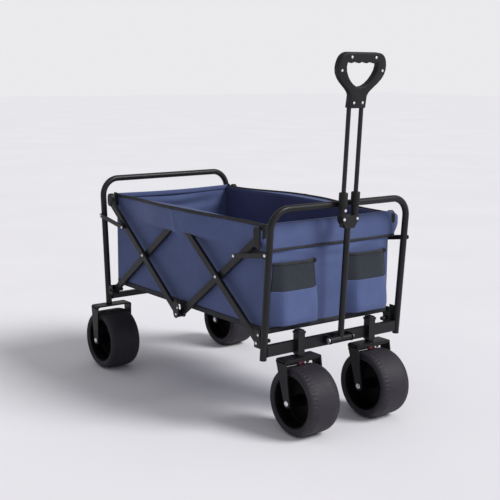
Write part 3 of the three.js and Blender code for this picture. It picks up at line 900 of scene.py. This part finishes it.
def handle():
    """Clevis and cross bolt, lower tube with its slider block, two rods and the grip."""
    rounded_copy("handle_clevis", coat, "front_frame", 0.0009)
    half = node_box("handle_bolt")[1].x
    profile = [(0, -half), (0.006, -half), (0.008, -half + 0.0015), (0.008, -half + 0.005)]
    profile += [(0.0048, -half + 0.005)]
    profile += [(r, -a) for r, a in reversed(profile)]
    bolt = Shape().turned(profile, handle_pivot, "X", 24)
    bolt.piece("handle_bolt_pin", zinc, "front_frame", "steel", replaces=["handle_bolt"])
    lower_tube()
    slider_block()
    for side, s in SIDES:
        node = f"handle_rod_{side}"
        bottom, top = 0.332, 0.681
        profile = [(0, bottom), (0.0054, bottom), (0.0064, bottom + 0.001), (0.0064, top), (0, top)]
        rod = Shape().turned(profile, (s * ROD_X, 0, 0), "Z", 24).transform(to_handle)
        rod.piece(node + "_bar", enamel, "handle_upper", "frame", replaces=[node])
    rounded_copy("handle_grip", plastic, "handle_upper", 0.0018)
    grip_screws()


def lower_tube():
    """The lower tube, standing on a pivot sleeve round the cross bolt."""
    sleeve = node_box("handle_tube")[1].x
    half = [(0.005, sleeve), (0.0085, sleeve), (0.0095, sleeve - 0.001)]
    shape = Shape()
    shape.turned([(r, -a) for r, a in half] + half[::-1], (0, 0, 0))
    shape.rod(0.009, 0.002, 0.356, (0, 0, 0), "Z")
    shape.transform(to_handle)
    shape.piece("handle_lower_tube", coat, "handle_lower", "frame", replaces=["handle_tube"])


def slider_block():
    """The moulded block over the tube's end, with a stepped collar round each rod."""
    bottom, top, collar, depth = 0.328, 0.364, 0.430, 0.012
    narrow, wide, shoulder = 0.016, 0.031, top - 0.014
    right = [(narrow, bottom), (wide, shoulder), (wide, top)]
    outline = [(-narrow, bottom)] + right + [(-wide, top), (-wide, shoulder)]
    shape = Shape().rings([[(x, y, z) for x, z in outline] for y in (-depth, depth)])
    sleeve = [
        (0.0067, top - 0.002), (0.0105, top - 0.002), (0.0105, collar - 0.040),
        (0.013, collar - 0.038), (0.013, collar - 0.002), (0.0117, collar), (0.0068, collar),
    ]
    for _, s in SIDES:
        shape.turned(sleeve, (s * ROD_X, 0, 0), "Z", 28)
    shape.transform(to_handle)
    shape.piece("handle_slider", plastic, "handle_lower", "plastic", 0.0016, ["handle_block"])
    head = [(0.0048, 0.001), (0.0048, 0.0), (0.004, -0.0015), (0.002, -0.0022), (0, -0.0024)]
    for x, z in ((-0.0245, 0.355), (0.0245, 0.355), (-0.021, 0.380)):
        y = -depth if z < top else -0.0105
        screw = Shape().turned(head, (x, y, z), "Y", 20).transform(to_handle)
        screw.piece(f"slider_rivet_{round(x * 1000)}_{round(z * 1000)}", zinc, "handle_lower", "steel")


def grip_screws():
    """Six screws in moulded sockets on the grip's front half."""
    spots = [(s * x, z) for x, z in ((0.0445, 0.140), (0.0745, 0.104), (0.016, 0.016)) for s in (-1, 1)]
    to_grip = to_handle @ Matrix.Translation((0, 0, GRIP_LOW)) @ Matrix.Rotation(GRIP_RAKE, 4, "X")
    head = [(0, 0.001), (0.0038, 0.001), (0.0038, -0.0006), (0.0032, -0.0012), (0, -0.0014)]
    for i, (x, z) in enumerate(spots):
        screw = Shape().turned(head, (x, -GRIP_HALF, z), "Y", 20).transform(to_grip)
        screw.piece(f"grip_screw_{i}", zinc, "handle_upper", "steel")


handle()


# ---- cloth tub ----

CLOTH = 0.0016
RIM_TAPE = 0.010
HEM_TAPE = 0.016
panel_low, panel_high, _ = node_box("fabric_rear_panel")
front_low, front_high, _ = node_box("fabric_front_panel")
REAR_Y = (panel_low.y + panel_high.y) / 2
FRONT_Y = (front_low.y + front_high.y) / 2
WALL_X = panel_high.x - 0.001
FLOOR_Z = panel_low.z + 0.001
RIM_Z = 0.600
MID = PIVOT["scissor_mid_top_left"]
TUB_DEPTH = REAR_Y - FRONT_Y
TUB_HEIGHT = RIM_Z - FLOOR_Z
POUCH_X = 0.268


def smooth(low, high, value):
    t = min(1.0, max(0.0, (value - low) / (high - low)))
    return t * t * (3 - 2 * t)


def grid_mesh(name, surface, columns, rows):
    """A sheet of quads; surface(u, v) gives a point and its place on the flat cloth in metres."""
    points, flat = [], []
    for j in range(rows + 1):
        for i in range(columns + 1):
            point, cut = surface(i / columns, j / rows)
            points.append(tuple(point))
            flat.append(cut)
    faces = []
    for j in range(rows):
        for i in range(columns):
            a = j * (columns + 1) + i
            faces.append([a, a + 1, a + columns + 2, a + columns + 1])
    mesh = bpy.data.meshes.new(name)
    mesh.from_pydata(points, [], faces)
    uv = mesh.uv_layers.new(name="flat_cloth")
    for loop in mesh.loops:
        uv.data[loop.index].uv = flat[loop.vertex_index]
    mesh.shade_smooth()
    return mesh


def apply_modifiers(piece):
    """Bakes a piece's modifiers into its mesh."""
    graph = bpy.context.evaluated_depsgraph_get()
    mesh = bpy.data.meshes.new_from_object(piece.evaluated_get(graph))
    piece.modifiers.clear()
    piece.data = mesh
    return piece


def sheet_piece(
    name, surface, grid, material, body, flip=False, thickness=CLOTH, cutters=(), replaces=()
):
    """A cloth sheet with its thickness, cut through where a bar passes; grid is (columns, rows)."""
    mesh = grid_mesh(name, surface, *grid)
    if flip:
        mesh.flip_normals()
    piece = bpy.data.objects.new(name, mesh)
    bpy.context.scene.collection.objects.link(piece)
    piece.data.materials.append(material)
    solid = piece.modifiers.new("thickness", "SOLIDIFY")
    solid.thickness = thickness
    solid.offset = 0
    for cutter in cutters:
        cut = piece.modifiers.new("slit", "BOOLEAN")
        cut.operation = "DIFFERENCE"
        cut.solver = "EXACT"
        cut.object = cutter
    apply_modifiers(piece)
    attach(piece, body)
    if replaces:
        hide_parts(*replaces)
    return piece


def wall_y(share, gap):
    """The place along a side wall that keeps a gap at each end panel."""
    return FRONT_Y + gap + (TUB_DEPTH - 2 * gap) * share


def rim_height(y):
    """The rim is held by the corner shoes and by the top middle pivot, and lifts a little there."""
    return RIM_Z + 0.006 * math.sin(math.pi * (y - FRONT_Y) / TUB_DEPTH) ** 2


def side_x(y, z, s):
    """How far out the side wall stands: it swells towards the top middle pivot and hides it."""
    along = abs(y - MID.y)
    spread = smooth(0.330, 0.050, along)
    lift = smooth(0.513, 0.541, z)
    height = min(1.0, max(0.0, (z - FLOOR_Z) / TUB_HEIGHT))
    slack = math.sin(math.pi * (y - FRONT_Y) / TUB_DEPTH) * math.sin(math.pi * height)
    wave = noise.noise(Vector((y * 6, z * 7, s * 3.0))) * 0.0018
    x = WALL_X - 0.003 * slack + wave * slack
    fold_y = MID.y + 0.018 - 0.42 * (RIM_Z - z)
    pleat = 0.0045 * math.exp(-(((y - fold_y) / 0.009) ** 2)) * smooth(0.47, 0.52, z)
    return x + (POUCH_X - 0.002 - x) * spread * lift + pleat


def side_wall(side, s, cutters, replaces):
    """The outer wall, slit where two bars pass through it."""

    def surface(u, v):
        y = wall_y(u, 0.0022)
        z = FLOOR_Z + (rim_height(y) - FLOOR_Z) * v
        return Vector((s * side_x(y, z, s), y, z)), (y, z)

    name = f"tub_side_{side}"
    return sheet_piece(
        name, surface, (150, 66), cloth, "tub_rear", flip=s > 0, cutters=cutters, replaces=replaces
    )


def liner_x(y, z, s):
    """The lining hangs flat inside the outer wall."""
    ripple = 0.0012 * noise.noise(Vector((y * 9, z * 6, 7.0 + s)))
    return WALL_X - 0.0062 + ripple


def side_liner(side, s):
    """The lining inside a side wall."""

    def surface(u, v):
        y = wall_y(u, 0.004)
        z = FLOOR_Z + 0.004 + (rim_height(y) - FLOOR_Z - 0.006) * v
        return Vector((s * liner_x(y, z, s), y, z)), (y, z)

    # the lining cloth here is painted darker as shade inside the tub
    return sheet_piece(f"tub_liner_{side}", surface, (90, 24), shaded_lining, "tub_rear", flip=s < 0)


def side_ledge(side, s):
    """The strip that closes the gap between the lining and the swollen outer wall."""

    def surface(u, v):
        y = wall_y(u, 0.004)
        z = rim_height(y) - 0.0022
        inner, outer = liner_x(y, z, s), side_x(y, z, s) - 0.001
        sag = 0.08 * (outer - inner) * math.sin(math.pi * v)
        return Vector((s * (inner + (outer - inner) * v), y, z - sag)), (y, outer * v)

    return sheet_piece(f"tub_ledge_{side}", surface, (90, 4), cloth, "tub_rear", flip=s < 0)


def corner_gusset(side, s):
    """A black patch on the side wall under the front corner shoe."""
    bottom, top, long = 0.505, 0.572, 0.098

    def surface(u, v):
        y = FRONT_Y + 0.004 + (0.006 + long * (1 - v)) * u
        z = bottom + (top - bottom) * v
        return Vector((s * (side_x(y, z, s) + 0.0019), y, z)), (y, z)

    patch = sheet_piece(f"corner_gusset_{side}", surface, (12, 10), tape, "tub_rear", flip=s > 0)
    return patch


def bar_cutter(side, s, start, end):
    """A bar's own prism, a little larger, that cuts the slit the bar passes through."""
    points = scissor_points(side)
    inner, outer = layer(f"bar_{start}_to_{end}_{side}")
    ease = 0.0012
    outline = capsule(points[start], points[end], BAR_HALF + ease)
    shape = Shape().prism(outline, s * (inner - ease), s * (outer + ease))
    mesh = bpy.data.meshes.new("slit_cutter")
    mesh.from_pydata([tuple(p) for p in shape.points], [], shape.faces)
    finish_mesh(mesh)
    cutter = bpy.data.objects.new("slit_cutter", mesh)
    bpy.context.scene.collection.objects.link(cutter)
    return cutter


def squash_to_rear(piece):
    """Gives the piece its own copy of its mesh."""
    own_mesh(piece)
    return piece


def tub_floor():
    """The tub's floor, which sags a little in the middle."""

    def surface(u, v):
        x = WALL_X * 0.985 * (2 * u - 1)
        y = wall_y(v, 0.003)
        sag = math.sin(math.pi * u) * math.sin(math.pi * v)
        ripple = noise.noise(Vector((x * 5, y * 5, 2.0))) * 0.003 * sag
        return Vector((x, y, FLOOR_Z + 0.0015 - 0.004 * sag + ripple)), (x, y)

    # the floor wears the lining cloth, painted darker as shade inside the tub
    return sheet_piece("tub_floor", surface, (40, 70), shaded_lining, "tub_rear")


def ribbon(name, path, width, across, material, body, thickness):
    """Flat tape along a path; across is the direction of its width."""
    count = len(path)
    lengths = [0.0]
    for a, b in zip(path, path[1:]):
        lengths.append(lengths[-1] + (b - a).length)

    def surface(u, v):
        i = min(count - 1, round(u * (count - 1)))
        return path[i] + Vector(across) * width * (v - 0.5), (lengths[i], width * v)

    return sheet_piece(name, surface, (count - 1, 3), material, body, thickness=thickness)


def stitches(name, path, body, pitch=0.005, length=0.0032):
    """A row of separate stitches along a path."""
    shape = Shape()
    for a, b in zip(path, path[1:]):
        span = (b - a).length
        for k in range(int(span / pitch)):
            start = a.lerp(b, (k * pitch) / span)
            end = a.lerp(b, min(1.0, (k * pitch + length) / span))
            shape.sweep([start, (start + end) / 2, end], 0.0004, 6)
    return shape.piece(name, thread, body, "fabric")


def wall_line(s, height, steps=110, out=0.0016):
    """Points along a side wall at a height measured down from the rim, or up from the floor."""
    points = []
    for i in range(steps + 1):
        y = wall_y(i / steps, 0.003)
        z = rim_height(y) + height if height <= 0 else FLOOR_Z + height
        points.append(Vector((s * (side_x(y, z, s) + out), y, z)))
    return points


def end_panel(name, y, out, body, replaces):
    """An end wall; out is the direction away from the tub."""

    def surface(u, v):
        x = WALL_X * (2 * u - 1)
        top = RIM_Z + 0.005 - 0.004 * math.sin(math.pi * u)
        z = FLOOR_Z + (top - FLOOR_Z) * v
        swell = math.sin(math.pi * u) * math.sin(math.pi * v)
        crease = 0.0034 * math.sin(150 * z + 5 * noise.noise(Vector((x * 4, z * 3, y))))
        crease *= smooth(0.45, 0.85, v) * (1 - smooth(0.93, 1.0, v)) * math.sin(math.pi * u)
        return Vector((x, y + out * (0.004 * swell) + crease, z)), (x, z)

    return sheet_piece(name, surface, (60, 50), cloth, body, flip=out < 0, replaces=replaces)


FLAP_HALF = 0.2625
FLAP_Y = FRONT_Y - 0.0050
FLAP_LOW = 0.529
FLAP_WRAP = 0.012


def flap_plan(share):
    """The flap's line in plan, from behind one corner round the front to behind the other."""
    corner, back = 0.012, FLAP_WRAP
    quarter = math.pi / 2 * corner
    straight = 2 * (FLAP_HALF - corner)
    length = 2 * (back + quarter) + straight
    along = share * length - length / 2
    side = -1 if along < 0 else 1
    past = abs(along) - straight / 2
    if past <= 0:
        return along, FLAP_Y
    turn = min(past / corner, math.pi / 2)
    x = FLAP_HALF - corner + corner * math.sin(turn)
    y = FLAP_Y + corner * (1 - math.cos(turn)) + max(0.0, past - quarter)
    return side * x, y


def front_flap():
    """The band folded over the front rim and round both corner shoes, with a taped lower edge."""
    top = RIM_Z + 0.004
    long = 2 * FLAP_HALF + 2 * FLAP_WRAP

    def surface(u, v):
        x, y = flap_plan(u)
        z = FLAP_LOW + (top - FLAP_LOW) * v
        narrowing = 0.013 * smooth(0.5, 0.0, v) + 0.020 * smooth(0.70, 1.0, v) ** 2
        x -= math.copysign(narrowing * smooth(0.225, 0.262, abs(x)), x)
        x += 0.009 * smooth(0.215, 0.262, abs(x))
        flat = 1 - smooth(0.75, 0.9, abs(2 * u - 1))
        slack = 0.0014 * noise.noise(Vector((x * 9, z * 9, 5)))
        belly = (math.sin(math.pi * v) * 0.004 + slack) * flat
        return Vector((x, y - belly, z)), (long * u, z)

    flap = sheet_piece("front_flap", surface, (110, 14), cloth, "tub_front", flip=True)
    fold_deep = 0.011

    def cover(u, v):
        x = (FLAP_HALF - 0.024) * (2 * u - 1)
        y = FLAP_Y + 0.001 + fold_deep * v
        return Vector((x, y, top - 0.0005)), (x, y)

    fold = sheet_piece("front_flap_fold", cover, (60, 3), cloth, "tub_front")
    edge = [surface(0.035 + 0.93 * i / 60, 0.03)[0] + Vector((0, -0.0012, 0)) for i in range(61)]
    tape_piece = ribbon("front_flap_tape", edge, 0.0074, (0, 0, 1), tape, "tub_front", 0.003)
    for side, s in SIDES:
        front_corner_cover(side, s)


def front_corner_cover(side, s):
    """A moulded plate over each end of the flap."""
    front, back = FRONT_Y + 0.004, FRONT_Y + 0.034
    bottom, top = FLAP_LOW + 0.004, RIM_Z - 0.004
    outline = [(front, bottom), (back - 0.006, bottom + 0.006), (back, top - 0.010)]
    outline += [(back - 0.004, top), (front, top)]
    shoe = Shape().prism(outline, s * (WALL_X + 0.0235), s * (WALL_X + 0.0275))
    shoe.piece(f"front_corner_cover_{side}", plastic, "tub_front", "plastic", 0.0015)


pocket_low, pocket_high, pocket_middle = node_box("cup_pocket_right")
POCKET_MESH_Z = 0.414
POCKET_BACK = pocket_high.y - 0.001


def pocket_wall(centre, z0, z1, inset=0.0):
    """A pocket's wall between two heights: two slanting sides and a flat front."""
    half = (pocket_high.x - pocket_low.x) / 2 - 0.001
    depth = POCKET_BACK - pocket_low.y - 0.002

    def surface(u, v):
        z = z0 + (z1 - z0) * v
        share = (z - pocket_low.z) / (pocket_high.z - pocket_low.z)
        reach = half * (1.05 - 0.13 * smooth(0.2, 1.0, share)) - inset
        slant = 0.030
        x = reach * (2 * u - 1)
        way = (reach - abs(x)) / slant
        out = min(1.0, way) - 0.07 * math.exp(-(((way - 1) / 0.22) ** 2)) * min(1.0, way)
        deep = (depth - inset) * (1 - 0.12 * smooth(0.10, 0.0, share) - 0.60 * smooth(0.1, 1.0, share))
        slack = 0.0018 * noise.noise(Vector((x * 14, z * 12, centre * 9))) * min(1.0, way)
        return Vector((centre + x, POCKET_BACK - deep * out + slack, z)), (x * 1.2, z)

    return surface


def girth(surface, columns):
    """The length of a pocket wall round its plan, half way up."""
    line = [surface(i / columns, 0.5)[0] for i in range(columns + 1)]
    return sum((b - a).length for a, b in zip(line, line[1:]))


def pocket(side, s):
    """Solid cloth below, knitted mesh above, a taped mouth and a button at the corner."""
    body = "tub_front"
    columns = 64
    centre = s * pocket_middle.x
    floor_z, mouth_z = pocket_low.z, pocket_high.z
    lower_wall = pocket_wall(centre, floor_z + 0.001, POCKET_MESH_Z)
    upper_wall = pocket_wall(centre, POCKET_MESH_Z - 0.004, mouth_z, 0.0016)
    base_line = pocket_wall(centre, floor_z + 0.002, mouth_z, 0.001)

    def base(u, v):
        point, _ = base_line(u, 0)
        y = POCKET_BACK - (POCKET_BACK - point.y) * v
        return Vector((point.x, y, point.z)), (point.x, y)

    node = f"cup_pocket_{side}"
    lower = sheet_piece(
        f"pocket_cloth_{side}", lower_wall, (columns, 24), cloth, body, replaces=[node]
    )
    upper = sheet_piece(
        f"pocket_mesh_{side}", upper_wall, (columns, 18), mesh_cloth, body, thickness=0.0012
    )
    bottom = sheet_piece(f"pocket_base_{side}", base, (columns, 8), cloth, body)
    around = [upper_wall(i / columns, 1)[0] for i in range(columns + 1)]
    mouth = ribbon(f"pocket_tape_{side}", around, 0.009, (0, 0, -1), tape, body, 0.003)
    lower_size = (girth(lower_wall, columns), POCKET_MESH_Z - floor_z)
    upper_size = (girth(upper_wall, columns), mouth_z - POCKET_MESH_Z)
    profile = [(0, 0.001), (0.006, 0.001), (0.006, -0.003), (0.0045, -0.0045), (0, -0.005)]
    button = Shape().turned(profile, (centre + 0.072, FRONT_Y - 0.006, mouth_z - 0.002), "Y", 20)
    button.piece(f"pocket_button_{side}", plastic, body, "plastic")
    for piece in (lower, upper, bottom, mouth):
        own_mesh(piece)


def side_cloth(side, s):
    """One side of the tub: wall, tapes, stitches, lining, ledge and corner patch."""
    cutters = [
        bar_cutter(side, s, "rear_low", "mid_top"),
        bar_cutter(side, s, "front_low", "mid_top"),
    ]
    # both walls and the floor are one CAD node, and the left wall stands for it
    stand_in = ["fabric_sides_floor"] if side == "left" else []
    wall = side_wall(side, s, cutters, stand_in)
    for cutter in cutters:
        bpy.data.objects.remove(cutter)
    up = (0, 0, 1)
    rim_line = wall_line(s, -0.002, out=0.0)
    rim = ribbon(f"tub_rim_{side}", rim_line, RIM_TAPE, up, tape, "tub_rear", 0.0042)
    hem_line = wall_line(s, 0.005, out=0.001)
    hem = ribbon(f"tub_hem_{side}", hem_line, HEM_TAPE, up, tape, "tub_rear", 0.003)
    row = stitches(f"tub_stitches_{side}", wall_line(s, -0.014, 60, 0.0012), "tub_rear")
    liner = side_liner(side, s)
    ledge = side_ledge(side, s)
    patch = corner_gusset(side, s)
    for piece in (wall, rim, hem, row, liner, ledge, patch):
        squash_to_rear(piece)


def end_bands(end, y):
    """The folded rim and the taped hem of an end panel."""
    steps = 40
    bands = (
        ("rim", RIM_Z - 0.003, 0.004, 0.016, cloth),
        ("hem", FLOOR_Z + 0.006, 0.0, HEM_TAPE, tape),
    )
    for stem, z, sag, width, material in bands:
        path = []
        for i in range(steps + 1):
            x = WALL_X * (2 * i / steps - 1)
            path.append(Vector((x, y, z - sag * math.sin(math.pi * i / steps))))
        name = f"{end}_{stem}_band"
        band = ribbon(name, path, width, (0, 0, 1), material, f"tub_{end}", 0.0042)


def rear_corner_cover(side, s):
    """A moulded strip over the tub's rear corner."""
    inner, outer = WALL_X + 0.0025, WALL_X + 0.0075
    back = 0.010
    cover = Shape().box((s * inner, REAR_Y - back, 0.560), (s * outer, REAR_Y + back, 0.608))
    cover.piece(f"rear_corner_cover_{side}", plastic, "tub_rear", "plastic", 0.0022)


def tub():
    """The whole cloth tub, with its flap, pockets and corner covers."""
    for side, s in SIDES:
        side_cloth(side, s)
    floor_sheet = tub_floor()
    squash_to_rear(floor_sheet)
    rear = end_panel("tub_rear_panel", REAR_Y, 1, "tub_rear", ["fabric_rear_panel"])
    front = end_panel("tub_front_panel", FRONT_Y, -1, "tub_front", ["fabric_front_panel"])
    for panel, end, y in ((rear, "rear", REAR_Y), (front, "front", FRONT_Y)):
        end_bands(end, y)
    front_flap()
    for side, s in SIDES:
        pocket(side, s)
        rear_corner_cover(side, s)


tub()


# ---- floor and lights ----


def studio():
    """A wide pale floor."""
    size = 30.0
    mesh = bpy.data.meshes.new("studio_floor")
    corners = [(-size, -size, 0), (size, -size, 0), (size, size, 0), (-size, size, 0)]
    mesh.from_pydata(corners, [], [[0, 1, 2, 3]])
    ground = bpy.data.objects.new("studio_floor", mesh)
    ground.data.materials.append(floor_paint)
    bpy.context.scene.collection.objects.link(ground)


def key_light(towards, strength, softness):
    """A broad, distant key; towards points from the object to the light."""
    data = bpy.data.lights.new("key_light", "SUN")
    data.energy = strength
    data.angle = math.radians(softness)
    light = bpy.data.objects.new("key_light", data)
    bpy.context.scene.collection.objects.link(light)
    light.matrix_world = Vector(towards).to_track_quat("Z", "Y").to_matrix().to_4x4()


def sky(ambient, backdrop):
    """Even fill from all round, seen by the camera as a brighter plain backdrop."""
    world = bpy.data.worlds.new("studio_world")
    bpy.context.scene.world = world
    world.use_nodes = True
    nodes, links = world.node_tree.nodes, world.node_tree.links
    seen = nodes.new("ShaderNodeLightPath").outputs["Is Camera Ray"]
    level = nodes.new("ShaderNodeMapRange")
    level.inputs["To Min"].default_value = ambient
    level.inputs["To Max"].default_value = backdrop
    links.new(seen, level.inputs["Value"])
    links.new(level.outputs["Result"], nodes["Background"].inputs["Strength"])
    nodes["Background"].inputs["Color"].default_value = (0.985, 0.98, 1.0, 1)


studio()
key_light(towards=(0.55, -0.83, 0.84), strength=2.7, softness=24)
sky(ambient=0.46, backdrop=0.84)
bpy.context.scene.view_settings.view_transform = "Standard"
